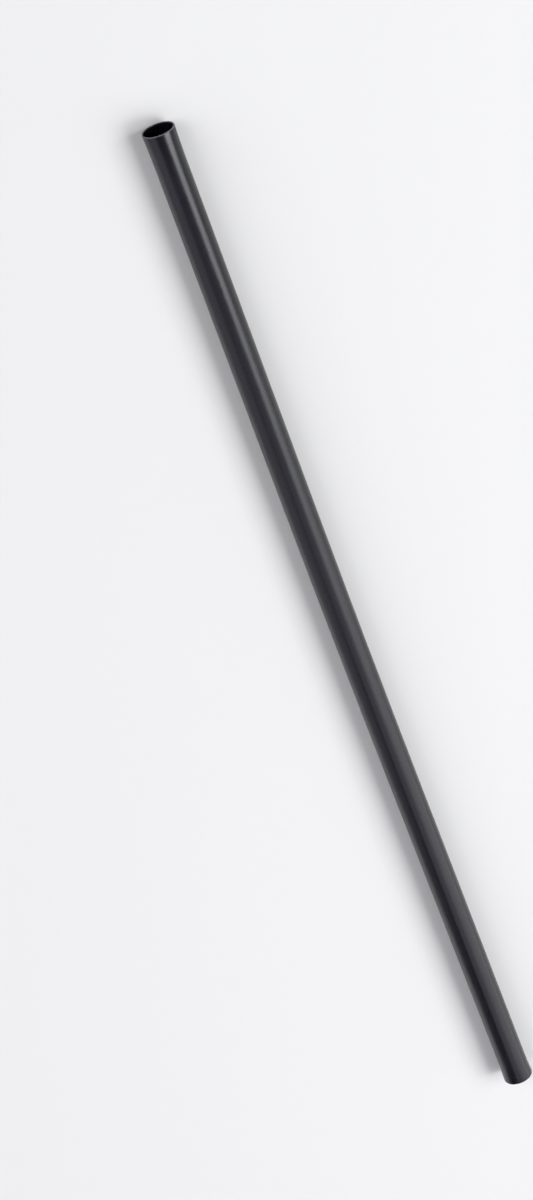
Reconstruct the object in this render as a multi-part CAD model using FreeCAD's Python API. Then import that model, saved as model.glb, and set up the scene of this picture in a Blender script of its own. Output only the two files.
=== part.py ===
import FreeCAD, Part

import math
import os

# A straight drinking straw: one thin-walled plastic tube, extruded and cut to length.
# All sizes are in millimetres and degrees. The straw lies on its side along Y, with its
# drinking end at +Y and its foot at -Y. The origin is at the centre of its box.

straw_length = 197.0
outer_diameter = 5.0
wall_thickness = 0.2

# No straw is quite straight: this one bends very slightly in the middle, in the level plane,
# so both ends lean towards +X. Either side of the bend the tube is straight and round.
bend_length = 60.0
bend_angle = 0.6

# The knife that cuts the tube squeezes it: towards each cut the round section turns into
# an oval, wider along X and lower along Z, whose girth stays that of the tube.
squeeze_reach = 6.0
squeeze_share = 0.05
squeeze_steps = 4

# The cut plastic ends in a rim that is very slightly rounded, inside and outside.
rim_rounding = 0.04

# What follows from the sizes above.
outer_radius = outer_diameter / 2
inner_radius = outer_radius - wall_thickness
arm_length = (straw_length - bend_length) / 2
round_length = arm_length - squeeze_reach
lean = bend_angle / 2
bend_radius = bend_length / math.radians(bend_angle)

origin = FreeCAD.Vector(0, 0, 0)
across = FreeCAD.Vector(1, 0, 0)
along = FreeCAD.Vector(0, 1, 0)
up = FreeCAD.Vector(0, 0, 1)
bend_centre = across * bend_radius


def squeezed_section(way_to_cut, inset):
    """Oval a given share of the way from the round stretch to the cut, this far inside the skin."""
    squeeze = outer_radius * squeeze_share * way_to_cut ** 2
    centre = up * (round_length + squeeze_reach * way_to_cut)
    if way_to_cut == 0:
        oval = Part.Circle(centre, up, outer_radius - inset)
    else:
        oval = Part.Ellipse(centre, outer_radius + squeeze - inset, outer_radius - squeeze - inset)
    return Part.Wire([oval.toShape()])


def squeezed_plug(inset):
    """Full solid from the round stretch to the cut, this far inside the skin."""
    ways = [step / squeeze_steps for step in range(squeeze_steps + 1)]
    return Part.makeLoft([squeezed_section(way, inset) for way in ways], True, False)


def squeezed_end():
    """Upper end of a standing arm: its oval wall and its rounded rim."""
    end = squeezed_plug(0).cut(squeezed_plug(wall_thickness))
    rim_edges = [edge for edge in end.Edges if abs(edge.BoundBox.ZMin - arm_length) < rim_rounding]
    return end.makeFillet(rim_rounding, rim_edges)


def round_stretch():
    """The straight round part of a standing arm."""
    outside = Part.makeCylinder(outer_radius, round_length)
    bore = Part.makeCylinder(inner_radius, round_length)
    return outside.cut(bore)


def drinking_arm():
    """Everything from the bend to the drinking end, laid along Y and leaning as the bend ends."""
    arm = round_stretch().fuse(squeezed_end())
    arm.rotate(origin, across, -90)
    arm.rotate(bend_centre, up, -lean)
    return arm


def round_disc(radius):
    """Flat disc across the straw at the middle of the bend."""
    return Part.Face(Part.Wire([Part.Circle(origin, along, radius).toShape()]))


def half_bend():
    """The gently curved stretch from the middle of the straw to where an arm starts."""
    ring = round_disc(outer_radius).cut(round_disc(inner_radius)).Faces[0]
    return ring.revolve(bend_centre, -up, lean)


def straw():
    """The whole straw, lying along Y with the centre of its box at the origin."""
    half = half_bend().fuse(drinking_arm())
    whole = half.fuse(half.mirror(origin, along)).Solids[0]
    whole.translate(-whole.optimalBoundingBox(False, False).Center)
    return whole


os.makedirs("parts", exist_ok=True)
straw().exportStep("parts/straw_tube.step")
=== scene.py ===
import math

import bmesh
import bpy
from mathutils import Matrix, Vector, noise


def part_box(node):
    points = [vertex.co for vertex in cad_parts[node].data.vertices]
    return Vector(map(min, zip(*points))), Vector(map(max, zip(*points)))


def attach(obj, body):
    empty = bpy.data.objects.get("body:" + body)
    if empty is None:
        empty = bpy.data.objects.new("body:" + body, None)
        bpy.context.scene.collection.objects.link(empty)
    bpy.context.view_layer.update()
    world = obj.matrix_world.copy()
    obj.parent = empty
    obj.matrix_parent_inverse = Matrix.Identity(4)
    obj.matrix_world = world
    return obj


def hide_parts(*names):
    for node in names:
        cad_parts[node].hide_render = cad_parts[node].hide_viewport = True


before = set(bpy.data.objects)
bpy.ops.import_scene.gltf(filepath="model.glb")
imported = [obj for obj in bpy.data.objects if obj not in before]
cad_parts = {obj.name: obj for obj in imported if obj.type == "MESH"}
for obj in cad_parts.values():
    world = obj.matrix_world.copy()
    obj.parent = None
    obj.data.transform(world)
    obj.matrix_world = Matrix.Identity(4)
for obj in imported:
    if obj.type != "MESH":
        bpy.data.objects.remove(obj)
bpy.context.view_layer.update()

bl_info = {
    "name": "Drinking Straw",
    "version": (1, 0, 0),
    "blender": (4, 5, 0),
    "location": "3D View > Sidebar > Straw",
    "description": "A thin-walled plastic drinking straw lying on a pale floor",
    "category": "Add Mesh",
}

NODE = "straw_tube"
BODY = "root"
FLOOR_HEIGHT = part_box(NODE)[0].z

# The photograph's frame in pixels, and where the middles of the straw's two ends are in it.
PHOTO_SIZE = Vector((533, 1200))
DRINKING_END_PIXEL = Vector((157.9, 129.4))
FOOT_PIXEL = Vector((518.1, 1075.1))

# Height of the camera's frame in millimetres.
FRAME_HEIGHT = 36

# The mesh: points round each ring, steps along each squeezed end and how much closer together
# they get towards the cut, steps along the rest, and steps over each rounded edge of the rim.
SEGMENTS = 160
END_STEPS = 20
END_CROWDING = 1.8
MIDDLE_STEPS = 72
ROUNDING_STEPS = 5

# The knife's marks: how far from the cut they reach, how close together its waves and its nicks
# are round the rim, and how high the noise must rise before it makes a nick.
MARK_REACH = 0.0006
WAVE_SCALE = 1.7
NICK_SCALE = 9.0
NICK_LEVEL = 0.35

# Half the floor's width, and the distances from its middle between which its lamplight gives
# way to an even paleness.
FLOOR_REACH = 3.0
FADE_START = 0.12
FADE_END = 0.34

# Sines of the elevations between which the pale walls give way to the room overhead.
WALLS_END = 0.03
ROOM_START = 0.14

WHITE = (1.0, 1.0, 1.0, 1.0)

# The two tints of the lamps' light.
VIOLET = (1.0, 0.965, 1.12)
COOL = (0.98, 1.0, 1.04)

# Name, swing round the straw, distance from it, spread, start and end along Y, brightness, colour.
# Swing and spread are in degrees, and a swing below zero is to the left.
SOFTBOXES = (
    ("left_softbox", -57.0, 0.9, 48.0, -0.7, 0.1, 0.78, VIOLET),
    ("near_strip", 42.0, 1.0, 33.0, -0.35, -0.02, 7.6, COOL),
    ("second_strip", 47.0, 1.0, 34.0, -0.47, -0.35, 3.6, COOL),
    ("middle_strip", 54.0, 1.0, 52.0, -0.66, -0.47, 2.1, COOL),
    ("far_softbox", 54.0, 1.0, 76.0, -1.35, -0.66, 1.6, COOL),
    ("middle_top", -9.0, 1.05, 48.0, -0.68, -0.45, 0.85, VIOLET),
    ("far_top", -2.0, 1.05, 36.0, -1.35, -0.68, 0.95, VIOLET),
    ("lip_light", 45.0, 1.0, 30.0, 0.02, 0.35, 6.0, COOL),
    ("front_fill", -50.0, 1.2, 60.0, 0.3, 1.8, 2.2, COOL),
)


class StrawSizes(bpy.types.PropertyGroup):
    """Sizes of the straw. Those down to the rim rounding are those of the solid model."""

    length: bpy.props.FloatProperty(
        name="Length",
        description="Length along the centre line, from cut to cut",
        default=0.197,
        unit="LENGTH",
    )
    diameter: bpy.props.FloatProperty(
        name="Diameter",
        description="Outer diameter of the round part",
        default=0.005,
        unit="LENGTH",
    )
    wall: bpy.props.FloatProperty(
        name="Wall",
        description="Thickness of the wall",
        default=0.0002,
        unit="LENGTH",
    )
    bend_length: bpy.props.FloatProperty(
        name="Bend Length",
        description="Length of the gently curved middle",
        default=0.060,
        unit="LENGTH",
    )
    bend_angle: bpy.props.FloatProperty(
        name="Bend Angle",
        description="How far the straw turns along its curved middle",
        default=math.radians(0.6),
        subtype="ANGLE",
    )
    squeeze_reach: bpy.props.FloatProperty(
        name="Squeeze Reach",
        description="How far from each cut the knife has squeezed the tube",
        default=0.006,
        unit="LENGTH",
    )
    squeeze_share: bpy.props.FloatProperty(
        name="Squeeze",
        description="How much wider and lower the tube is at its cut ends",
        default=0.05,
        subtype="FACTOR",
    )
    rim_rounding: bpy.props.FloatProperty(
        name="Rim Rounding",
        description="Radius of the cut's two edges",
        default=0.00004,
        unit="LENGTH",
    )
    lip_drag: bpy.props.FloatProperty(
        name="Lip Drag",
        description="How far the knife has dragged the last of the wall inwards",
        default=0.00003,
        unit="LENGTH",
    )
    nick_depth: bpy.props.FloatProperty(
        name="Nick Depth",
        description="Depth of the waves and nicks that the knife leaves in the cut",
        default=0.0001,
        unit="LENGTH",
    )
    # The paler band below the cut is torn plastic and also a painted highlight along the lit lip.
    pale_highlight_reach: bpy.props.FloatProperty(
        name="Pale Reach",
        description="How far below the cut the bruised plastic is paler",
        default=0.00014,
        unit="LENGTH",
    )


class StrawFinish(bpy.types.PropertyGroup):
    """Colours, gloss and grain of the plastic."""

    plastic: bpy.props.FloatVectorProperty(
        name="Plastic",
        description="Colour of the dyed plastic",
        default=(0.004, 0.0031, 0.007),
        subtype="COLOR",
    )
    variation: bpy.props.FloatProperty(
        name="Variation",
        description="How much lighter and darker the mottling makes the plastic",
        default=0.2,
        subtype="FACTOR",
    )
    # The cut faces' grey is partly torn plastic and partly a painted highlight of the rim.
    cut_face_and_highlight: bpy.props.FloatVectorProperty(
        name="Cut Face",
        description="Colour of the plastic where the knife has torn it",
        default=(0.13, 0.128, 0.14),
        subtype="COLOR",
    )
    roughness: bpy.props.FloatProperty(
        name="Roughness",
        description="Roughness of the satin skin where it is smoothest",
        default=0.18,
        subtype="FACTOR",
    )
    uneven_gloss: bpy.props.FloatProperty(
        name="Uneven Gloss",
        description="How much rougher the mottling and the extrusion lines each make the skin",
        default=0.1,
        subtype="FACTOR",
    )
    torn_roughness: bpy.props.FloatProperty(
        name="Torn Roughness",
        description="How much rougher the plastic is where the knife has torn it",
        default=0.22,
        subtype="FACTOR",
    )
    relief: bpy.props.FloatProperty(
        name="Relief",
        description="Height of the skin's fine grain",
        default=0.000007,
        unit="LENGTH",
    )


class StageLook(bpy.types.PropertyGroup):
    """The floor, the light and the camera."""

    floor_colour: bpy.props.FloatVectorProperty(
        name="Floor",
        description="Colour of the floor",
        default=(0.86, 0.85, 0.825),
        subtype="COLOR",
    )
    backdrop: bpy.props.FloatProperty(
        name="Backdrop",
        description="Brightness of the far floor and of the room, as the camera sees them",
        default=0.9,
    )
    room_light: bpy.props.FloatProperty(
        name="Room Light",
        description="Brightness of the room overhead",
        default=0.06,
    )
    wall_light: bpy.props.FloatProperty(
        name="Wall Light",
        description="Brightness of the pale walls round the floor",
        default=0.8,
    )
    lens: bpy.props.FloatProperty(
        name="Lens",
        description="Focal length in millimetres",
        default=102.75,
    )
    drinking_end_depth: bpy.props.FloatProperty(
        name="Drinking End Depth",
        description="Distance of the drinking end along the camera's line of sight",
        default=0.512,
        unit="LENGTH",
    )


class Signal:
    """One output of a shader node. Arithmetic on it adds Math nodes."""

    def __init__(self, recipe, socket):
        self.recipe = recipe
        self.socket = socket

    def maths(self, operation, first, second):
        return self.recipe.node("ShaderNodeMath", {"operation": operation}, {0: first, 1: second})

    def __add__(self, other):
        return self.maths("ADD", self, other)

    def __radd__(self, other):
        return self.maths("ADD", other, self)

    def __rsub__(self, other):
        return self.maths("SUBTRACT", other, self)

    def __mul__(self, other):
        return self.maths("MULTIPLY", self, other)

    def __rmul__(self, other):
        return self.maths("MULTIPLY", other, self)


class Recipe:
    """The nodes of a material or of the world."""

    def __init__(self, owner):
        owner.use_nodes = True
        self.tree = owner.node_tree
        self.tree.nodes.clear()

    def node(self, kind, settings, sockets, output=0):
        """Add a node, apply its settings, feed its sockets and give one of its outputs."""
        made = self.tree.nodes.new(kind)
        for name, value in settings.items():
            setattr(made, name, value)
        for name, value in sockets.items():
            if isinstance(value, Signal):
                self.tree.links.new(value.socket, made.inputs[name])
            else:
                made.inputs[name].default_value = value
        return Signal(self, made.outputs[output]) if made.outputs else None

    def grain(self, place, per_metre, detail):
        """Noise with this many grains per metre along each axis."""
        scaled = self.node("ShaderNodeMapping", {}, {"Vector": place, "Scale": per_metre})
        return self.node("ShaderNodeTexNoise", {}, {"Vector": scaled, "Scale": 1.0, "Detail": detail})

    def blend(self, share, first, second):
        """Colour between two colours."""
        sockets = {0: share, 6: first, 7: second}
        return self.node("ShaderNodeMix", {"data_type": "RGBA"}, sockets, output=2)

    def ramp(self, value, start, end, low=0.0, high=1.0):
        """Smooth step from low to high while the value goes from start to end."""
        sockets = {"Value": value, "From Min": start, "From Max": end, "To Min": low, "To Max": high}
        return self.node("ShaderNodeMapRange", {"interpolation_type": "SMOOTHSTEP"}, sockets)


def tint(colour, factor=1.0):
    """Colour made lighter or darker, as a colour socket takes it."""
    return (*(factor * channel for channel in colour), 1.0)


def straw_plastic(finish):
    """Satin black plastic: lengthwise extrusion lines, faint mottling, grey cut faces of torn plastic
    with a painted rim highlight.
    """
    material = bpy.data.materials.new("straw_plastic")
    recipe = Recipe(material)
    place = recipe.node("ShaderNodeTexCoord", {}, {}, "Object")
    cut = recipe.node("ShaderNodeAttribute", {"attribute_name": "cut"}, {}, "Fac")
    lines = recipe.grain(place, (3500, 14, 3500), 3.0)
    mottle = recipe.grain(place, (420, 260, 420), 3.0)
    pores = recipe.grain(place, (9000, 7000, 9000), 2.0)
    tears = recipe.grain(place, (16000, 16000, 16000), 3.0)
    darker = tint(finish.plastic, 1 - finish.variation)
    lighter = tint(finish.plastic, 1 + finish.variation)
    skin = recipe.blend(mottle, darker, lighter)
    # Grey cut faces: torn plastic, and a painted highlight where the rim catches the light.
    colour = recipe.blend(cut * (0.5 + 0.7 * tears), skin, tint(finish.cut_face_and_highlight))
    rough = finish.roughness + finish.uneven_gloss * mottle + finish.uneven_gloss * lines
    rough += finish.torn_roughness * cut
    height = 0.35 * lines + 0.3 * mottle + 0.25 * pores + cut * tears
    bump = recipe.node(
        "ShaderNodeBump", {}, {"Strength": 1.0, "Distance": finish.relief, "Height": height}
    )
    shader = recipe.node(
        "ShaderNodeBsdfPrincipled",
        {},
        {"Base Color": colour, "Roughness": rough, "IOR": 1.5, "Normal": bump},
    )
    recipe.node("ShaderNodeOutputMaterial", {}, {"Surface": shader})
    return material


def floor_paper(look):
    """Matt pale paper with a breath of unevenness, which stays pale far from the lamps."""
    material = bpy.data.materials.new("floor_paper")
    recipe = Recipe(material)
    place = recipe.node("ShaderNodeTexCoord", {}, {}, "Object")
    cloud = recipe.grain(place, (6, 6, 6), 2.0)
    shade = recipe.blend(cloud, tint(look.floor_colour, 0.98), tint(look.floor_colour))
    paper = recipe.node(
        "ShaderNodeBsdfPrincipled",
        {},
        {"Base Color": shade, "Roughness": 0.8, "Specular IOR Level": 0.0},
    )
    glow = recipe.node("ShaderNodeEmission", {}, {"Color": WHITE, "Strength": look.backdrop})
    distance = recipe.node("ShaderNodeVectorMath", {"operation": "LENGTH"}, {0: place}, "Value")
    far = recipe.ramp(distance, FADE_START, FADE_END)
    seen = recipe.node("ShaderNodeLightPath", {}, {}, "Is Camera Ray")
    mirrored = recipe.node("ShaderNodeLightPath", {}, {}, "Is Glossy Ray")
    mixed = recipe.node("ShaderNodeMixShader", {}, {0: far * (seen + mirrored), 1: paper, 2: glow})
    recipe.node("ShaderNodeOutputMaterial", {}, {"Surface": mixed})
    return material


def room_world(look):
    """Dim room with pale walls round the floor. The camera sees all of it equally pale."""
    world = bpy.data.worlds.new("room")
    recipe = Recipe(world)
    way = recipe.node("ShaderNodeTexCoord", {}, {}, "Generated")
    height = recipe.node("ShaderNodeSeparateXYZ", {}, {"Vector": way}, "Z")
    light = recipe.ramp(height, WALLS_END, ROOM_START, look.wall_light, look.room_light)
    seen = recipe.node("ShaderNodeLightPath", {}, {}, "Is Camera Ray")
    strength = light + seen * (look.backdrop - light)
    background = recipe.node("ShaderNodeBackground", {}, {"Color": WHITE, "Strength": strength})
    recipe.node("ShaderNodeOutputWorld", {}, {"Surface": background})
    return world


class CentreLine:
    """The straw's centre line: two straight arms joined by a gentle bend in the level plane."""

    def __init__(self, sizes):
        self.half_bend = sizes.bend_length / 2
        self.radius = sizes.bend_length / sizes.bend_angle
        widest = sizes.diameter / 2 * (1 + sizes.squeeze_share)
        end, across = self.unshifted(sizes.length / 2)
        # The straw reaches furthest towards -X in its middle, and towards +X at its ends.
        self.shift = Vector(((sizes.diameter / 2 - end.x - widest * across.x) / 2, 0, 0))

    def unshifted(self, along):
        """Place and sideways direction at this distance from the bend's middle."""
        turned = max(-self.half_bend, min(self.half_bend, along)) / self.radius
        arm = along - turned * self.radius
        place = Vector((self.radius * (1 - math.cos(turned)), self.radius * math.sin(turned), 0))
        place += arm * Vector((math.sin(turned), math.cos(turned), 0))
        return place, Vector((math.cos(turned), -math.sin(turned), 0))

    def at(self, along):
        """The same, moved so that the straw's box is centred."""
        place, across = self.unshifted(along)
        return place + self.shift, across


def stations(half_length, reach):
    """Distances from the middle at which the wall has a ring, close together near the cuts."""
    fine = [
        half_length - reach * (step / END_STEPS) ** END_CROWDING for step in range(END_STEPS + 1)
    ]
    inner = half_length - reach
    coarse = [-inner + 2 * inner * step / MIDDLE_STEPS for step in range(1, MIDDLE_STEPS)]
    return [-place for place in fine] + coarse + fine[::-1]


def rim_profile(sizes):
    """Pairs of depth below the cut and inset from the skin, over the rim from outside to inside."""
    rounding = sizes.rim_rounding
    arc = [math.pi / 2 * step / ROUNDING_STEPS for step in range(1, ROUNDING_STEPS + 1)]
    outside = [(rounding * (1 - math.sin(a)), rounding * (1 - math.cos(a))) for a in arc]
    inside = [(depth, sizes.wall - inset) for depth, inset in reversed(outside)]
    middle = [(0.0, sizes.wall * share) for share in (0.35, 0.5, 0.65)]
    return outside + middle + inside


def ring_plan(sizes):
    """Each ring's distance along the straw and inset from the skin: outside, rim, bore, rim."""
    half_length = sizes.length / 2
    walls = stations(half_length - sizes.rim_rounding, sizes.squeeze_reach)
    rim = rim_profile(sizes)
    rings = [(along, 0.0) for along in walls]
    rings += [(half_length - depth, inset) for depth, inset in rim]
    rings += [(along, sizes.wall) for along in reversed(walls)]
    rings += [(depth - half_length, inset) for depth, inset in reversed(rim)]
    return rings


def ring_points(sizes, line, along, inset):
    """Points of one ring: an oval near a cut, and beside it dragged inwards, waved and nicked."""
    radius = sizes.diameter / 2
    from_cut = sizes.length / 2 - abs(along)
    squeeze = radius * sizes.squeeze_share * max(0.0, 1 - from_cut / sizes.squeeze_reach) ** 2
    near_cut = max(0.0, 1 - from_cut / MARK_REACH)
    drag = sizes.lip_drag * near_cut ** 3
    wide = radius + squeeze - inset - drag
    low = radius - squeeze - inset - drag
    end = math.copysign(1.0, along)
    points = []
    for segment in range(SEGMENTS):
        angle = 2 * math.pi * segment / SEGMENTS
        around = Vector((math.cos(angle), math.sin(angle), end))
        wave = 0.5 + 0.5 * noise.noise(around * WAVE_SCALE)
        nick = 2 * max(0.0, noise.noise(around * NICK_SCALE) - NICK_LEVEL)
        back = sizes.nick_depth * (0.5 * wave + nick) * near_cut ** 2
        place, across = line.at(along - end * back)
        points.append(place + across * wide * math.cos(angle) + Vector((0, 0, low * math.sin(angle))))
    return points


def paleness(sizes, along):
    """How torn the plastic is at this distance along the straw, and how strong the painted rim
    highlight is there, from 0 to 1.
    """
    below = max(0.0, sizes.length / 2 - abs(along) - sizes.rim_rounding)
    return max(0.0, 1 - below / sizes.pale_highlight_reach) ** 1.5


def straw_mesh(sizes):
    """The straw's wall as one closed skin: outside, rim, bore and rim."""
    line = CentreLine(sizes)
    mesh = bmesh.new()
    cut_layer = mesh.verts.layers.float.new("cut")
    rings = []
    for along, inset in ring_plan(sizes):
        ring = [mesh.verts.new(point) for point in ring_points(sizes, line, along, inset)]
        for vertex in ring:
            vertex[cut_layer] = paleness(sizes, along)
        rings.append(ring)
    for ring, after in zip(rings, rings[1:] + rings[:1]):
        for segment in range(SEGMENTS):
            beside = (segment + 1) % SEGMENTS
            mesh.faces.new((ring[segment], ring[beside], after[beside], after[segment]))
    bmesh.ops.recalc_face_normals(mesh, faces=mesh.faces)
    for face in mesh.faces:
        face.smooth = True
    data = bpy.data.meshes.new("drinking_straw")
    mesh.to_mesh(data)
    mesh.free()
    return data


def add_object(name, data):
    """Put this mesh, lamp or camera into the scene."""
    piece = bpy.data.objects.new(name, data)
    bpy.context.scene.collection.objects.link(piece)
    return piece


def add_floor(look):
    """Square of paper under the straw."""
    square = ((-1, -1), (1, -1), (1, 1), (-1, 1))
    corners = [(x * FLOOR_REACH, y * FLOOR_REACH, FLOOR_HEIGHT) for x, y in square]
    mesh = bpy.data.meshes.new("floor")
    mesh.from_pydata(corners, [], [(0, 1, 2, 3)])
    mesh.materials.append(floor_paper(look))
    floor = add_object("floor", mesh)


def add_softbox(name, swing, distance, spread, from_y, to_y, brightness, colour):
    """Lamp parallel to the straw, swung this far over it from upright and looking this bright."""
    lamp = bpy.data.lights.new(name, "AREA")
    lamp.shape = "RECTANGLE"
    lamp.size = 2 * distance * math.tan(math.radians(spread / 2))
    lamp.size_y = to_y - from_y
    lamp.energy = brightness * math.pi * lamp.size * lamp.size_y
    lamp.color = colour
    softbox = add_object(name, lamp)
    turned = Matrix.Rotation(math.radians(swing), 4, "Y")
    softbox.matrix_world = turned @ Matrix.Translation((0, (from_y + to_y) / 2, distance))


def camera_place(look, sizes):
    """Where the camera stands so that the straw's two ends meet their pixels."""
    focal = look.lens / FRAME_HEIGHT * PHOTO_SIZE.y
    line = CentreLine(sizes)
    drinking_end = line.at(sizes.length / 2)[0]
    foot = line.at(-sizes.length / 2)[0]

    def sight(pixel):
        offset = (pixel - PHOTO_SIZE / 2) / focal
        return Vector((offset.x, -offset.y, -1.0))

    near = sight(DRINKING_END_PIXEL) * look.drinking_end_depth
    far_sight = sight(FOOT_PIXEL)
    span = (drinking_end - foot).length
    # The foot is on its own line of sight, the straw's length away and further off.
    middle = near.dot(far_sight) / far_sight.length_squared
    nearest = (near - far_sight * middle).length
    foot_depth = middle + math.sqrt(span ** 2 - nearest ** 2) / far_sight.length
    far = far_sight * foot_depth
    along = (near - far).normalized()
    towards = -(near + far).normalized()
    across = along.cross(towards).normalized()
    up = across.cross(along)
    seen = Matrix((across, along, up))
    place = (drinking_end + foot) / 2 - seen @ ((near + far) / 2)
    return Matrix.Translation(place) @ seen.to_4x4()


def add_camera(look, sizes):
    """Camera that sees the straw as the photograph does."""
    lens = bpy.data.cameras.new("camera")
    lens.lens = look.lens
    camera = add_object("camera", lens)
    camera.matrix_world = camera_place(look, sizes)
    return camera


class StrawOperator(bpy.types.Operator):
    """Build the drinking straw: one thin-walled tube with squeezed, cut ends"""

    bl_idname = "straw.add_straw"
    bl_label = "Add Straw"

    def execute(self, context):
        straw = add_object("drinking_straw", straw_mesh(context.scene.straw_sizes))
        straw.data.materials.append(straw_plastic(context.scene.straw_finish))
        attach(straw, BODY)
        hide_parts(NODE)
        return {"FINISHED"}


class StageOperator(bpy.types.Operator):
    """Set up the pale floor, the soft light and the camera"""

    bl_idname = "straw.add_stage"
    bl_label = "Add Stage"

    def execute(self, context):
        scene = context.scene
        add_floor(scene.straw_stage)
        scene.world = room_world(scene.straw_stage)
        for softbox in SOFTBOXES:
            add_softbox(*softbox)
        scene.camera = add_camera(scene.straw_stage, scene.straw_sizes)
        scene.view_settings.view_transform = "Standard"
        return {"FINISHED"}


class StrawPanel(bpy.types.Panel):
    """The straw's sizes, finish and stage in the sidebar."""

    bl_idname = "VIEW3D_PT_drinking_straw"
    bl_label = "Drinking Straw"
    bl_space_type = "VIEW_3D"
    bl_region_type = "UI"
    bl_category = "Straw"

    def draw(self, context):
        for group in (getattr(context.scene, name) for name in GROUPS):
            box = self.layout.box()
            for name in group.bl_rna.properties.keys():
                if name not in ("rna_type", "name"):
                    box.prop(group, name)
        for operator in OPERATORS:
            self.layout.operator(operator.bl_idname)


GROUPS = {"straw_sizes": StrawSizes, "straw_finish": StrawFinish, "straw_stage": StageLook}
OPERATORS = (StrawOperator, StageOperator)


def register():
    for cls in (*GROUPS.values(), *OPERATORS, StrawPanel):
        bpy.utils.register_class(cls)
    for name, group in GROUPS.items():
        setattr(bpy.types.Scene, name, bpy.props.PointerProperty(type=group))


def unregister():
    for name in GROUPS:
        delattr(bpy.types.Scene, name)
    for cls in (StrawPanel, *reversed(OPERATORS), *reversed(GROUPS.values())):
        bpy.utils.unregister_class(cls)


def main():
    register()
    bpy.ops.straw.add_straw()
    bpy.ops.straw.add_stage()


if __name__ == "__main__":
    main()
